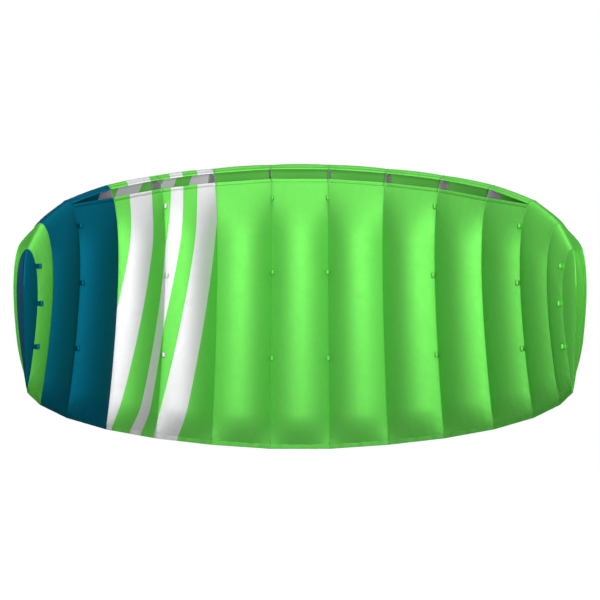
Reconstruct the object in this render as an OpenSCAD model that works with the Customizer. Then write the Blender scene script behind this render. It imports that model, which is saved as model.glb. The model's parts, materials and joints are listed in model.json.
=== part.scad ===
// Ram-air foil kite: thirteen inflated cells between fourteen ribs, nose up, hollow side to -Y.
// The wing bends in one arc across X; every rib's chord runs down Z.
// Origin: on the centre line, between the two middle bridle tabs of the centre cell.
// Each cell is skins, outboard rib, edge bindings and tabs; the cells hinge on the ribs' lower seams.

/* [Wing plan] */
// Wingspan between the tip ribs, laid flat
flat_span = 1500; // [1300:10:1800]
// Chord of the centre cell, nose to trailing edge
centre_chord = 652; // [600:2:700]
// Half-spans from the centre at which the chord's curve would reach zero
plan_reach = 1.083; // [1.06:0.001:1.15]
// Power of the span in the chord's curve
plan_power = 1.6; // [1.4:0.05:2.2]
// Root that rounds the chord's curve towards the tips
plan_root = 0.374; // [0.3:0.002:0.5]
// How far the middle of the tip chord hangs below the middle of the centre chord
tip_droop = 27; // [0:1:40]
// Width of a tip cell as a share of the centre cell
tip_cell = 0.47; // [0.4:0.01:1]
// Power with which the cells narrow towards the tips
width_power = 3.8; // [2:0.1:5]

/* [Arc] */
// Lean of the tip ribs from upright
tip_lean = 77.6; // [60:0.1:80]
// Share of the lean that grows with the square of the span
arc_growth = 0.19; // [0:0.01:0.3]

/* [Aerofoil] */
// Greatest thickness as a share of the chord
thickness = 0.16; // [0.14:0.005:0.18]
// Place of the intake's front lip, as a share of the chord
front_lip = 0.018; // [0.014:0.001:0.022]
// Place of the intake's rear lip, as a share of the chord
rear_lip = 0.053; // [0.045:0.001:0.06]
// Place of the seam between a top skin's nose panel and its rear panel, as a share of the chord
cross_seam = 0.3; // [0.2:0.01:0.4]
// Outward balloon of a skin panel as a share of its cell's width
balloon = 0.15; // [0.08:0.005:0.18]
// Share of a skin's length over which its balloon rises behind the nose
balloon_rise = 0.25; // [0.2:0.01:0.4]
// Share of a skin's length over which its balloon dies out before the hem
balloon_fall = 0.12; // [0.1:0.01:0.3]
// Outward balloon of a tip panel as a share of its chord
tip_balloon = 0.04; // [0.01:0.005:0.05]

/* [Fabric] */
// Thickness of a skin
skin = 0.8; // [0.6:0.1:1]
// Thickness of a rib
rib = 1; // [0.8:0.1:1.2]
// Gap that a seam leaves between one cell and the next
seam_gap = 0.3; // [0.3:0.05:0.5]
// Depth of the hem along the trailing edge
hem = 9; // [8:0.5:12]
// Thickness of the hem at the trailing edge
hem_edge = 1.2; // [1:0.1:1.6]
// Width of the tape that binds the intake lips
tape_width = 8; // [6:0.5:10]
// Thickness of that tape
tape = 0.5; // [0.4:0.05:0.6]

/* [Rib ports] */
// First, middle and last port as shares of the chord
ports = [0.2, 0.38, 0.57]; // [0.2:0.01:0.6]
// Radius of a port as a share of half the rib's thickness there
port_share = 0.5; // [0.3:0.05:0.6]

/* [Bridle tabs] */
// Front, middle and rear row of tabs as shares of the chord
tab_rows = [0.12, 0.38, 0.68]; // [0.1:0.01:0.7]
// Bore of a tab's loop
tab_bore = 6; // [5:0.5:8]
// Thickness of the folded tape round the bore
tab_wall = 1; // [0.8:0.1:1.5]
// Width of the tape, along the chord
tab_width = 10; // [8:0.5:12]
// Distance from the seam to the middle of the bore
tab_reach = 8; // [7:0.5:10]

/* [Hidden] */
$fn = 48;

// Number of the rib at each tip, and of the outermost cell
TIP_RIB = 7;
TIP_CELL = TIP_RIB - 1;
// Last rib with an open intake on both sides
LAST_OPEN_RIB = 4;
// Steps across a cell, along a top skin's nose and rear panels and along a bottom skin
ACROSS = 6;
NOSE_STEPS = 8;
REAR_STEPS = 9;
BOTTOM_STEPS = 10;
// Steps along and across a tip panel
TIP_ALONG = 14;
TIP_ACROSS = 6;
// Root of the chord share past which a skin's thickness is set off square to the chord
FLAT_Q = 0.95;
// Root of the chord share at which a tip panel's nose is trimmed
TIP_NOSE_Q = 0.03;
// Half-thickness law of the classic four-digit aerofoil, in powers of the root of the chord share
LAW = [0.2969, -0.126, -0.3516, 0.2843, -0.1036];
LAW_POWERS = [1, 2, 4, 6, 8];
// Power that rounds the rise and the fall of a balloon
BALLOON_POWER = 1.5;
// How far the two lips stay apart where the intake runs out, in roots of the chord share
LIP_PINCH = 0.012;

half_span = flat_span / 2;
width_shares = [for (k = [1:TIP_CELL]) 1 - (1 - tip_cell) * pow(k / TIP_CELL, width_power)];
centre_cell = flat_span / (1 + 2 * total(width_shares));
fabric_green = [0.33, 0.8, 0.27];
fabric_teal = [0.07, 0.36, 0.44];
fabric_white = [0.94, 0.94, 0.94];
fabric_grey = [0.5, 0.47, 0.5];

function inner_rib(k) = max(k, 1);

function total(list, i = 0) = i == len(list) ? 0 : list[i] + total(list, i + 1);
function mix(a, b, share) = a + (b - a) * share;
function mirrored(p) = [-p[0], p[1], p[2]];

// --- Wing plan and arc: rib 1 is the first beside the centre, rib 7 is the tip ---
function cell_width(k) = k == 0 ? centre_cell : centre_cell * width_shares[k - 1];
function station(r) = r == 1 ? centre_cell / 2 : station(r - 1) + cell_width(r - 1);
function span_share(r) = station(r) / half_span;
function chord(r) =
    centre_chord * pow(1 - pow(span_share(r) / plan_reach, plan_power), plan_root);
function lean(r) = tip_lean * mix(span_share(r), pow(span_share(r), 2), arc_growth);
function mean_lean(k) = k == 0 ? 0 : (lean(k) + lean(k + 1)) / 2;
function rib_x(r) =
    r == 1 ? station(1) : rib_x(r - 1) + cell_width(r - 1) * cos(mean_lean(r - 1));
function rib_y(r) =
    r == 1 ? -cos(lean(1)) * tab_height(1, tab_rows[1])
    : rib_y(r - 1) - cell_width(r - 1) * sin(mean_lean(r - 1));
function nose_z(r) =
    chord(r) / 2 - tip_droop * pow(span_share(r), 8) - (0.5 - tab_rows[1]) * centre_chord;

// --- Aerofoil: q is the root of the chord share, below zero on the lower side ---
function law(p) = total([for (i = [0:4]) LAW[i] * pow(p, LAW_POWERS[i])]);
function law_slope(p) =
    total([for (i = [0:4]) LAW[i] * LAW_POWERS[i] * pow(p, LAW_POWERS[i] - 1)]);
function height(q) = 5 * thickness * sign(q) * law(abs(q));
function run(q) = [2 * q, 5 * thickness * law_slope(abs(q))];
function along(q) = run(q) / norm(run(q));
function outward(q) = abs(q) > FLAT_Q ? [0, sign(q)] : [-along(q)[1], along(q)[0]];
function end_q(r) = sqrt(1 - hem / chord(r));
function tape_q(r, q) = tape_width / (chord(r) * norm(run(q)));
function tab_height(r, row) = height(-sqrt(row)) * chord(r) - tab_reach;

// --- Where the skins of cell k start and step back on rib r ---
function is_open(k) = k <= LAST_OPEN_RIB;
function top_start() = -sqrt(front_lip);
function bottom_start(k, r) =
    r <= LAST_OPEN_RIB ? -sqrt(rear_lip) : top_start() - (is_open(k) ? LIP_PINCH : 0);
function stations(first, finish, steps) =
    [for (i = [0:steps - 1]) mix(first, finish, i / (steps - 1))];
// Stations that crowd together towards the finish
function eased_stations(first, finish, steps) =
    [for (i = [0:steps - 1]) mix(first, finish, sin(90 * i / (steps - 1)))];
function seam_side(r, side) = sqrt(cross_seam + side * seam_gap / 2 / chord(r));
function top_stations(r) =
    let (start = top_start())
    concat(
        [start],
        stations(start + tape_q(r, start), seam_side(r, -1), NOSE_STEPS),
        eased_stations(seam_side(r, 1), end_q(r), REAR_STEPS)
    );
function bottom_stations(k, r) =
    let (start = bottom_start(k, r))
    concat([start], eased_stations(start - tape_q(r, start), -end_q(r), BOTTOM_STEPS));
function tip_stations() = stations(TIP_NOSE_Q, end_q(TIP_RIB), TIP_ALONG + 1);

// A place on rib r: behind the nose, above the chord and off the rib's middle plane
function rib_place(r, back, up, off) = [
    rib_x(r) + sin(lean(r)) * up + cos(lean(r)) * off,
    rib_y(r) + cos(lean(r)) * up - sin(lean(r)) * off,
    nose_z(r) - back
];
// A place on rib r's outline at q, lifted off the fabric and pushed along it
function outline_place(r, q, off, lift, push) =
    let (shift = outward(q) * lift + along(q) * push)
    rib_place(r, q * q * chord(r) + shift[0], height(q) * chord(r) + shift[1], off);
// The same place on a cell's near and far ribs, reach being how far it comes past their middles
function near_place(k, q, lift, push, reach) =
    k == 0 ? mirrored(outline_place(1, q, reach, lift, push))
    : outline_place(k, q, rib / 2 + seam_gap, lift, push);
function far_place(k, q, lift, push, reach) = outline_place(k + 1, q, reach, lift, push);

// How full a panel's balloon is at q, between its start and its finish
function fullness(q, start, finish) =
    let (
        from = q > 0 ? 0 : start * start,
        share = min(1, max(0, (q * q - from) / (finish * finish - from))),
        rise = sin(90 * min(1, share / balloon_rise)),
        fall = sin(90 * min(1, (1 - share) / balloon_fall))
    )
    pow(rise * fall, BALLOON_POWER);
// A row of places across cell k, from q on the near rib to q on the far one
function panel_row(k, near_rows, far_rows, i, lift, push = 0) =
    let (last = len(near_rows) - 1)
    [for (j = [0:ACROSS])
        let (
            u = j / ACROSS,
            q = mix(near_rows[i], far_rows[i], u),
            start = mix(near_rows[0], far_rows[0], u),
            finish = mix(near_rows[last], far_rows[last], u),
            swell = balloon * cell_width(k) * 4 * u * (1 - u) * fullness(q, start, finish),
            a = near_place(k, near_rows[i], lift, push, -rib / 2),
            b = far_place(k, far_rows[i], lift, push, -rib / 2)
        )
        mix(a, b, u) + [sin(mean_lean(k)), cos(mean_lean(k)), 0] * swell * sign(q)
    ];
function panel_grid(k, near_rows, far_rows, lift, first, last) =
    [for (i = [first:last]) panel_row(k, near_rows, far_rows, i, lift)];

// A closed sheet between two grids of places that have the same rows and columns.
// The strips listed in turned are cut along their other diagonal, to lie flat on a neighbour.
module sheet(outer, inner, turned = []) {
    rows = len(outer);
    cols = len(outer[0]);
    base = rows * cols;
    function at(i, j) = i * cols + j;
    function wall(a, b) = [[a, base + b, b], [a, base + a, base + b]];
    function pair(a, b, c, d) = [
        [a, b, c], [a, c, d],
        [base + a, base + c, base + b], [base + a, base + d, base + c]
    ];
    skin_faces = [
        for (i = [0:rows - 2], j = [0:cols - 2])
            let (
                near = [at(i, j), at(i, j + 1)],
                far = [at(i + 1, j), at(i + 1, j + 1)],
                is_turned = len(search(i, turned)) > 0
            )
            each is_turned ? pair(near[1], far[1], far[0], near[0])
            : pair(near[0], near[1], far[1], far[0])
    ];
    side_faces = [
        for (i = [0:rows - 2]) each concat(
            wall(at(i + 1, 0), at(i, 0)),
            wall(at(i, cols - 1), at(i + 1, cols - 1))
        )
    ];
    end_faces = [
        for (j = [0:cols - 2]) each concat(
            wall(at(0, j), at(0, j + 1)),
            wall(at(rows - 1, j + 1), at(rows - 1, j))
        )
    ];
    polyhedron(
        concat([for (row = outer) each row], [for (row = inner) each row]),
        concat(skin_faces, side_faces, end_faces)
    );
}

// Puts a right-hand piece on its side of the wing: side is 1 on the right and -1 on the left
module on_side(side) {
    mirror([side < 0 ? 1 : 0, 0, 0]) children();
}

// --- Skins ---
module top_skin(k) {
    near_rows = top_stations(inner_rib(k));
    far_rows = top_stations(k + 1);
    module panel(first, last) {
        sheet(
            panel_grid(k, near_rows, far_rows, -skin, first, last),
            panel_grid(k, near_rows, far_rows, 0, first, last)
        );
    }
    panel(0, NOSE_STEPS);
    panel(NOSE_STEPS + 1, NOSE_STEPS + REAR_STEPS);
}

module bottom_skin(k) {
    near_rows = bottom_stations(k, inner_rib(k));
    far_rows = bottom_stations(k, k + 1);
    sheet(
        panel_grid(k, near_rows, far_rows, 0, 0, BOTTOM_STEPS),
        panel_grid(k, near_rows, far_rows, -skin, 0, BOTTOM_STEPS)
    );
}

// --- Edge bindings: the hem at the back and, on an open cell, a folded tape on each lip ---
module trailing_hem(k) {
    function hem_row(behind, side) =
        let (
            r = inner_rib(k),
            near_up = side * mix(height(end_q(r)) * chord(r), hem_edge / 2, behind),
            far_up = side * mix(height(end_q(k + 1)) * chord(k + 1), hem_edge / 2, behind),
            near_back = chord(r) - hem * (1 - behind),
            far_back = chord(k + 1) - hem * (1 - behind)
        )
        [
            k == 0 ? mirrored(rib_place(r, near_back, near_up, rib / 2))
            : rib_place(r, near_back, near_up, rib / 2 + seam_gap),
            rib_place(k + 1, far_back, far_up, rib / 2)
        ];
    sheet([hem_row(0, -1), hem_row(1, -1)], [hem_row(0, 1), hem_row(1, 1)]);
}

module lip_tape(k, near_rows, far_rows, push) {
    function row(i, lift, shift) = panel_row(k, near_rows, far_rows, i, lift, shift);
    wrap = [row(1, tape, 0), row(0, tape, push), row(0, -skin - tape, push), row(1, -skin - tape, 0)];
    core = [row(1, 0, 0), row(0, 0, 0), row(0, -skin, 0), row(1, -skin, 0)];
    if (push > 0) sheet(core, wrap, [0]);
    else sheet(wrap, core, [0, 1]);
}

module edge_binding(k) {
    trailing_hem(k);
    if (is_open(k)) {
        lip_tape(k, top_stations(inner_rib(k)), top_stations(k + 1), -tape);
        lip_tape(k, bottom_stations(k, inner_rib(k)), bottom_stations(k, k + 1), tape);
    }
}

// --- Ribs: drawn flat as above the chord by along Z, then stood at their place on the arc ---
module stand_at(r) {
    multmatrix([
        [sin(lean(r)), 0, cos(lean(r)), rib_x(r)],
        [cos(lean(r)), 0, -sin(lean(r)), rib_y(r)],
        [0, 1, 0, 0],
        [0, 0, 0, 1]
    ])
    children();
}

module rib_outline(r) {
    function corner(q) = [height(q) * chord(r), nose_z(r) - q * q * chord(r)];
    lower = bottom_stations(r, r);
    polygon([
        for (i = [len(lower) - 1:-1:0]) corner(lower[i]),
        for (q = top_stations(r)) if (q > lower[0]) corner(q)
    ]);
}

module rib_panel(r) {
    stand_at(r) difference() {
        linear_extrude(rib, center = true) rib_outline(r);
        for (place = ports) {
            translate([0, nose_z(r) - place * chord(r), 0])
                cylinder(r = port_share * height(sqrt(place)) * chord(r), h = 4 * rib, center = true);
        }
    }
}

// The outermost rib closes the wing: a panel that balloons outwards
module tip_panel() {
    r = TIP_RIB;
    function tip_row(q, off) = [
        for (j = [0:TIP_ACROSS])
            let (
                v = 2 * j / TIP_ACROSS - 1,
                swell = tip_balloon * chord(r) * height(q) / (thickness / 2) * (1 - v * v)
            )
            rib_place(r, q * q * chord(r), v * height(q) * chord(r), off + swell)
    ];
    sheet(
        [for (q = tip_stations()) tip_row(q, rib / 2)],
        [for (q = tip_stations()) tip_row(q, -rib / 2)]
    );
}

// --- Bridle tabs: tape folded into a loop, its two ends sewn into the rib's lower seam ---
module bridle_tabs(r) {
    lower_qs = r == TIP_RIB ? -tip_stations() : bottom_stations(r, r);
    seam = [for (q = lower_qs) [q * q * chord(r), height(q) * chord(r)]];
    for (row = tab_rows) {
        middle = row * chord(r);
        front = middle - tab_width / 2;
        rear = middle + tab_width / 2;
        up = tab_height(r, row);
        stand_at(r) translate([0, nose_z(r), 0]) difference() {
            union() {
                translate([up, -middle, 0]) rotate([90, 0, 0])
                    cylinder(r = tab_bore / 2 + tab_wall, h = tab_width, center = true);
                linear_extrude(rib, center = true)
                    polygon([
                        [up, -front],
                        [lookup(front, seam), -front],
                        for (p = seam) if (p[0] > front && p[0] < rear) [p[1], -p[0]],
                        [lookup(rear, seam), -rear],
                        [up, -rear]
                    ]);
            }
            translate([up, -middle, 0]) rotate([90, 0, 0])
                cylinder(r = tab_bore / 2, h = 2 * tab_width, center = true);
        }
    }
}

// --- Named pieces ---
module top_skin_centre() { color(fabric_green) on_side(1) top_skin(0); }
module top_skin_r1() { color(fabric_green) on_side(1) top_skin(1); }
module top_skin_r2() { color(fabric_green) on_side(1) top_skin(2); }
module top_skin_r3() { color(fabric_green) on_side(1) top_skin(3); }
module top_skin_r4() { color(fabric_green) on_side(1) top_skin(4); }
module top_skin_r5() { color(fabric_green) on_side(1) top_skin(5); }
module top_skin_r6() { color(fabric_green) on_side(1) top_skin(6); }
module top_skin_l1() { color(fabric_green) on_side(-1) top_skin(1); }
module top_skin_l2() { color(fabric_white) on_side(-1) top_skin(2); }
module top_skin_l3() { color(fabric_white) on_side(-1) top_skin(3); }
module top_skin_l4() { color(fabric_teal) on_side(-1) top_skin(4); }
module top_skin_l5() { color(fabric_teal) on_side(-1) top_skin(5); }
module top_skin_l6() { color(fabric_green) on_side(-1) top_skin(6); }
module bottom_skin_centre() { color(fabric_green) on_side(1) bottom_skin(0); }
module bottom_skin_r1() { color(fabric_green) on_side(1) bottom_skin(1); }
module bottom_skin_r2() { color(fabric_green) on_side(1) bottom_skin(2); }
module bottom_skin_r3() { color(fabric_green) on_side(1) bottom_skin(3); }
module bottom_skin_r4() { color(fabric_green) on_side(1) bottom_skin(4); }
module bottom_skin_r5() { color(fabric_green) on_side(1) bottom_skin(5); }
module bottom_skin_r6() { color(fabric_green) on_side(1) bottom_skin(6); }
module bottom_skin_l1() { color(fabric_green) on_side(-1) bottom_skin(1); }
module bottom_skin_l2() { color(fabric_white) on_side(-1) bottom_skin(2); }
module bottom_skin_l3() { color(fabric_white) on_side(-1) bottom_skin(3); }
module bottom_skin_l4() { color(fabric_teal) on_side(-1) bottom_skin(4); }
module bottom_skin_l5() { color(fabric_teal) on_side(-1) bottom_skin(5); }
module bottom_skin_l6() { color(fabric_green) on_side(-1) bottom_skin(6); }
module edge_binding_centre() { color(fabric_green) on_side(1) edge_binding(0); }
module edge_binding_r1() { color(fabric_green) on_side(1) edge_binding(1); }
module edge_binding_r2() { color(fabric_green) on_side(1) edge_binding(2); }
module edge_binding_r3() { color(fabric_green) on_side(1) edge_binding(3); }
module edge_binding_r4() { color(fabric_green) on_side(1) edge_binding(4); }
module edge_binding_r5() { color(fabric_green) on_side(1) edge_binding(5); }
module edge_binding_r6() { color(fabric_green) on_side(1) edge_binding(6); }
module edge_binding_l1() { color(fabric_green) on_side(-1) edge_binding(1); }
module edge_binding_l2() { color(fabric_white) on_side(-1) edge_binding(2); }
module edge_binding_l3() { color(fabric_white) on_side(-1) edge_binding(3); }
module edge_binding_l4() { color(fabric_teal) on_side(-1) edge_binding(4); }
module edge_binding_l5() { color(fabric_teal) on_side(-1) edge_binding(5); }
module edge_binding_l6() { color(fabric_green) on_side(-1) edge_binding(6); }
module rib_r1() { color(fabric_grey) on_side(1) rib_panel(1); }
module rib_r2() { color(fabric_grey) on_side(1) rib_panel(2); }
module rib_r3() { color(fabric_grey) on_side(1) rib_panel(3); }
module rib_r4() { color(fabric_grey) on_side(1) rib_panel(4); }
module rib_r5() { color(fabric_grey) on_side(1) rib_panel(5); }
module rib_r6() { color(fabric_grey) on_side(1) rib_panel(6); }
module rib_l1() { color(fabric_grey) on_side(-1) rib_panel(1); }
module rib_l2() { color(fabric_grey) on_side(-1) rib_panel(2); }
module rib_l3() { color(fabric_grey) on_side(-1) rib_panel(3); }
module rib_l4() { color(fabric_grey) on_side(-1) rib_panel(4); }
module rib_l5() { color(fabric_grey) on_side(-1) rib_panel(5); }
module rib_l6() { color(fabric_grey) on_side(-1) rib_panel(6); }
module tip_panel_r() { color(fabric_green) on_side(1) tip_panel(); }
module tip_panel_l() { color(fabric_teal) on_side(-1) tip_panel(); }
module bridle_tabs_centre() {
    color(fabric_green) {
        on_side(1) bridle_tabs(1);
        on_side(-1) bridle_tabs(1);
    }
}
module bridle_tabs_r3() { color(fabric_green) on_side(1) bridle_tabs(3); }
module bridle_tabs_r5() { color(fabric_green) on_side(1) bridle_tabs(5); }
module bridle_tabs_r7() { color(fabric_green) on_side(1) bridle_tabs(7); }
module bridle_tabs_l3() { color(fabric_white) on_side(-1) bridle_tabs(3); }
module bridle_tabs_l5() { color(fabric_teal) on_side(-1) bridle_tabs(5); }
module bridle_tabs_l7() { color(fabric_teal) on_side(-1) bridle_tabs(7); }

top_skin_centre();
top_skin_r1();
top_skin_r2();
top_skin_r3();
top_skin_r4();
top_skin_r5();
top_skin_r6();
top_skin_l1();
top_skin_l2();
top_skin_l3();
top_skin_l4();
top_skin_l5();
top_skin_l6();
bottom_skin_centre();
bottom_skin_r1();
bottom_skin_r2();
bottom_skin_r3();
bottom_skin_r4();
bottom_skin_r5();
bottom_skin_r6();
bottom_skin_l1();
bottom_skin_l2();
bottom_skin_l3();
bottom_skin_l4();
bottom_skin_l5();
bottom_skin_l6();
edge_binding_centre();
edge_binding_r1();
edge_binding_r2();
edge_binding_r3();
edge_binding_r4();
edge_binding_r5();
edge_binding_r6();
edge_binding_l1();
edge_binding_l2();
edge_binding_l3();
edge_binding_l4();
edge_binding_l5();
edge_binding_l6();
rib_r1();
rib_r2();
rib_r3();
rib_r4();
rib_r5();
rib_r6();
rib_l1();
rib_l2();
rib_l3();
rib_l4();
rib_l5();
rib_l6();
tip_panel_r();
tip_panel_l();
bridle_tabs_centre();
bridle_tabs_r3();
bridle_tabs_r5();
bridle_tabs_r7();
bridle_tabs_l3();
bridle_tabs_l5();
bridle_tabs_l7();
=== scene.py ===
# %% [markdown]
# # A ram-air foil kite
# The real thing is a wing of ripstop cloth that the wind blows up: thirteen cells lie side by side
# between fourteen ribs, the air comes in at the nose, and each cell swells between its ribs.
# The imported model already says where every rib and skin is. This lesson dresses it: every skin
# becomes a fine sheet of cloth with puckered seams, and every edge gets its tape and its stitches.
# All lengths are in metres.

# %% Load the frame
import json
import math

import bpy
import numpy as np
from mathutils import Matrix, Vector, geometry


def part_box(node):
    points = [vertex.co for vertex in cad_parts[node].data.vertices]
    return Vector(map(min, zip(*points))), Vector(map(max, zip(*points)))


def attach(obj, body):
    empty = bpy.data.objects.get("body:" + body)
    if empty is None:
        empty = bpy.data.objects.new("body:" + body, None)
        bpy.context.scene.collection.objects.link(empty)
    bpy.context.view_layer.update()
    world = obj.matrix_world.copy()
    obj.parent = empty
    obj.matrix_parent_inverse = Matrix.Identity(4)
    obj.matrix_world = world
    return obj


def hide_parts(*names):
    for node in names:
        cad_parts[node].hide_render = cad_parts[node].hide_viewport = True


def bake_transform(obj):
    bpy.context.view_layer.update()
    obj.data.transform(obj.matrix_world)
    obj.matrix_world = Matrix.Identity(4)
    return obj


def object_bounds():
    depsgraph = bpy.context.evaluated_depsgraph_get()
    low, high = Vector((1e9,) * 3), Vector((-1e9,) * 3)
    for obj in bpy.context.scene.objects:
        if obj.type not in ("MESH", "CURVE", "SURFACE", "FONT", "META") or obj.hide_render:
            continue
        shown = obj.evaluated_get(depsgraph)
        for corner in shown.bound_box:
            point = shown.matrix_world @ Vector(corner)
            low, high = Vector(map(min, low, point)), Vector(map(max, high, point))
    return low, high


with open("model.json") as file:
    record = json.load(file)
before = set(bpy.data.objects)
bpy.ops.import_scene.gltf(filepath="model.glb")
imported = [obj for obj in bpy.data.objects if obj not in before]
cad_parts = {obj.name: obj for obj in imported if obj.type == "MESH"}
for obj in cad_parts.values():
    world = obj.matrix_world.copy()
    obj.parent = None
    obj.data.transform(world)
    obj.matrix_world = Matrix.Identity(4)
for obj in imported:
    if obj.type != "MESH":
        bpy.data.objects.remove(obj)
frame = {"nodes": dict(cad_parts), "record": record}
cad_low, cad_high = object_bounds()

for leftover in ("Cube", "Light", "Camera"):
    if leftover in bpy.data.objects:
        bpy.data.objects.remove(bpy.data.objects[leftover])


def put_in(name, data):
    made = bpy.data.objects.new(name, data)
    bpy.context.scene.collection.objects.link(made)
    return made


# %% [markdown]
# ## Camera first
# The wing is looked at squarely from its hollow side, as a flyer sees it overhead, so the camera
# stands level with it and far off. A long lens from three and a half spans away keeps the tips
# from growing large, and it is aimed a touch above the middle of the wing.

# %% Place the camera
span = cad_high.x - cad_low.x
middle = (cad_low + cad_high) / 2
rib_line_y = (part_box("rib_r1")[0].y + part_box("rib_r1")[1].y) / 2
CAMERA_SPANS = 3.495
VIEW_SPANS = 1.165
AIM_ABOVE = 0.024
camera_data = bpy.data.cameras.new("camera")
camera_data.sensor_width = 36
camera_data.lens = camera_data.sensor_width * CAMERA_SPANS / VIEW_SPANS
camera = put_in("camera", camera_data)
camera.location = (
    0,
    rib_line_y - CAMERA_SPANS * span,
    middle.z + AIM_ABOVE * (cad_high.z - cad_low.z),
)
camera.rotation_euler = (math.pi / 2, 0, 0)
bpy.context.scene.camera = camera
print("camera", [round(x, 3) for x in camera.location], "lens", round(camera_data.lens, 1))

# %% [markdown]
# ## Find the ribs
# Every skin hangs between two ribs, so the ribs come first. Seen from above, a rib is a thin
# straight bar, and the longest side of its convex hull gives its direction exactly. The tip panel
# bulges outwards, but its inner side lies flat on the rib's plane, so the same measure works.

# %% Measure the ribs
def unit(vectors):
    return vectors / np.linalg.norm(vectors, axis=-1, keepdims=True)


def corners_of(node):
    return np.array([v.co for v in frame["nodes"][node].data.vertices])


def rib_frame(node, side):
    points = corners_of(node)
    plan = points[:, :2]
    hull = plan[geometry.convex_hull_2d([tuple(p) for p in plan])]
    sides = np.roll(hull, -1, axis=0) - hull
    longest = sides[np.argmax(np.linalg.norm(sides, axis=1))]
    up = unit(longest) * np.sign(longest[1])
    out = side * np.array([up[1], -up[0]])
    tall, wide = plan @ up, plan @ out
    return {
        "side": side,
        "up": up,
        "out": out,
        "tall": np.ptp(tall),
        "thick": np.ptp(wide),
        "middle": up * (tall.min() + tall.max()) / 2 + out * wide.min(),
        "nose": points[:, 2].max(),
        "back": points[:, 2].min(),
    }


TIP = 7
hem_depth = corners_of("rib_r1")[:, 2].min() - corners_of("edge_binding_centre")[:, 2].min()
rib_thick = rib_frame("rib_r1", 1)["thick"]
ribs = {}
for side, letter in ((1, "r"), (-1, "l")):
    for number in range(1, TIP + 1):
        node = f"rib_{letter}{number}" if number < TIP else f"tip_panel_{letter}"
        rib = rib_frame(node, side)
        rib["middle"] = rib["middle"] + rib["out"] * rib_thick / 2
        rib["chord"] = rib["nose"] - rib["back"] + hem_depth
        rib["inboard"] = "centre" if number == 1 else f"{letter}{number - 1}"
        rib["body"] = "cell_" + rib["inboard"]
        ribs[letter + str(number)] = rib
thickness = ribs["r1"]["tall"] / ribs["r1"]["chord"]
for name in ("r1", "r4", "r7"):
    lean = math.degrees(math.acos(ribs[name]["up"][1]))
    print(name, "chord", round(ribs[name]["chord"], 4), "lean", round(lean, 2))
print("hem", round(hem_depth, 4), "thickness", round(thickness, 4))

# %% [markdown]
# ## The aerofoil
# The ribs are cut to the classic symmetric four-digit section. Its law gives the half thickness
# from the root of the chord share, so this script steps along q, that root, with q below zero on
# the lower side. Equal steps of q crowd the points round the nose, where the section bends most.

# %% Write the section as a function
SECTION_LAW = ((0.2969, 1), (-0.126, 2), (-0.3516, 4), (0.2843, 6), (-0.1036, 8))
THICKEST_Q = math.sqrt(0.3)
FRONT_LIP_Q = -math.sqrt(0.018)
REAR_LIP_Q = -math.sqrt(0.053)
PINCHED_LIP_Q = FRONT_LIP_Q - 0.012
LAST_OPEN_RIB = 4


def height(q):
    law = sum(a * np.abs(q) ** power for a, power in SECTION_LAW)
    return 5 * thickness * np.sign(q) * law


def end_q(rib):
    return math.sqrt(1 - hem_depth / rib["chord"])


def on_rib(rib, back, up, off=0.0):
    back, up, off = np.broadcast_arrays(back, up, off)
    plan = rib["middle"] + up[..., None] * rib["up"] + off[..., None] * rib["out"]
    return np.concatenate([plan, (rib["nose"] - back)[..., None]], axis=-1)


def on_outline(rib, q, off=0.0):
    return on_rib(rib, q**2 * rib["chord"], height(q) * rib["chord"], off)


print("thickest:", round(float(2 * height(THICKEST_Q)), 4), "of the chord")

# %% [markdown]
# ## Cells
# A cell is the space between two ribs. Listing the cells once, with their ribs, their bodies and
# the distance across the laid-out wing, keeps every later step a plain loop over this list.

# %% List the cells
def number_of(name):
    return int(name[1:])


cells = {"centre": {"near": "l1", "far": "r1"}}
for letter in "rl":
    for number in range(1, TIP):
        cells[f"{letter}{number}"] = {"near": f"{letter}{number}", "far": f"{letter}{number + 1}"}
for name, cell in cells.items():
    near, far = ribs[cell["near"]], ribs[cell["far"]]
    cell["width"] = float(np.linalg.norm(far["middle"] - near["middle"]))
    cell["up"] = unit(near["up"] + far["up"])
    cell["open"] = name == "centre" or number_of(name) <= LAST_OPEN_RIB
    cell["bodies"] = (near["body"], far["body"])
half_centre = cells["centre"]["width"] / 2
cells["centre"]["stations"] = (-half_centre, half_centre)
for letter, side in (("r", 1), ("l", -1)):
    station = side * half_centre
    for number in range(1, TIP):
        cell = cells[f"{letter}{number}"]
        cell["stations"] = (station, station + side * cell["width"])
        station = cell["stations"][1]
half_span = cells["r6"]["stations"][1]
print("cells:", len(cells), "half span laid flat:", round(half_span, 3))

# %% [markdown]
# ## From a grid of points to cloth
# A skin is a grid: rows run down the chord, columns run across the cell. Besides its faces the
# mesh keeps two maps and two distances that the cloth's material reads. The map "cloth" is in
# metres on the cloth itself, so weave and stitches keep their size. The map "wing" is in metres on
# the whole wing laid flat, so a coloured band can run on over a seam. The attributes "seam" and
# "edge" say how far a point is from the nearest rib seam and from the nearest edge or cross seam.

# %% Meshes, maps and distances
def lengths_along(grid, axis):
    steps = np.linalg.norm(np.diff(grid, axis=axis), axis=-1)
    total = np.cumsum(steps, axis=axis)
    start = np.zeros_like(np.take(total, [0], axis=axis))
    return np.concatenate([start, total], axis=axis)


def grid_faces(rows, columns, flip):
    corner = np.arange(rows * columns).reshape(rows, columns)
    faces = np.stack(
        [corner[:-1, :-1], corner[1:, :-1], corner[1:, 1:], corner[:-1, 1:]], axis=-1
    ).reshape(-1, 4)
    return (faces[:, ::-1] if flip else faces).tolist()


def mesh_object(name, points, faces, material):
    mesh = bpy.data.meshes.new(name)
    mesh.from_pydata(points.reshape(-1, 3).tolist(), [], faces)
    mesh.polygons.foreach_set("use_smooth", [True] * len(mesh.polygons))
    mesh.materials.append(material)
    return put_in(name, mesh)


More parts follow.
